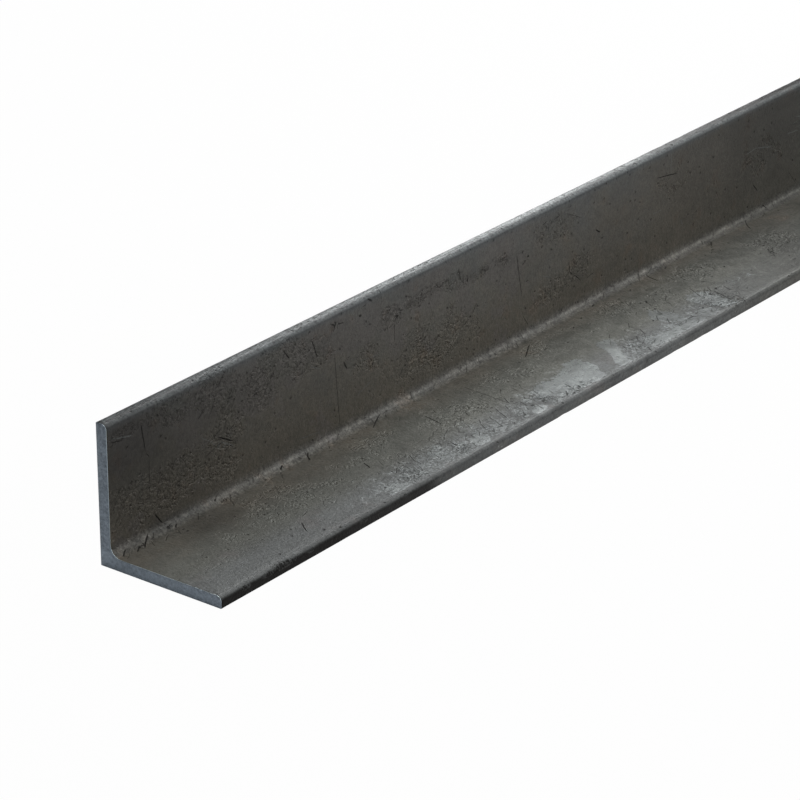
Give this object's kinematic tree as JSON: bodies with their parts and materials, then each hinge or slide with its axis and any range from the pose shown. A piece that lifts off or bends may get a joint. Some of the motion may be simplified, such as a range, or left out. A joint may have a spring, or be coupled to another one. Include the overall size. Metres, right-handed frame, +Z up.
{
  "type": "metal angle section",
  "caption": "Straight hot-rolled equal-leg steel angle bar with a filleted root, rounded inner toes, a sharp heel and plain sawn ends.",
  "frame": {"origin": "on the floor, under the middle of the bar's box", "axes": "+X from the heel towards the toe of the lying leg, +Y along the bar from one sawn end to the other, +Z up along the standing leg"},
  "size_m": [0.07, 1, 0.07],
  "materials": {
    "mill_scale_steel": "dark mill scale with rolling marks, small pits and scratches on the rolled faces; bare bluish grey sawn ends"
  },
  "bodies": {
    "root": {"angle_bar": "mill_scale_steel"}
  },
  "joints": []
}
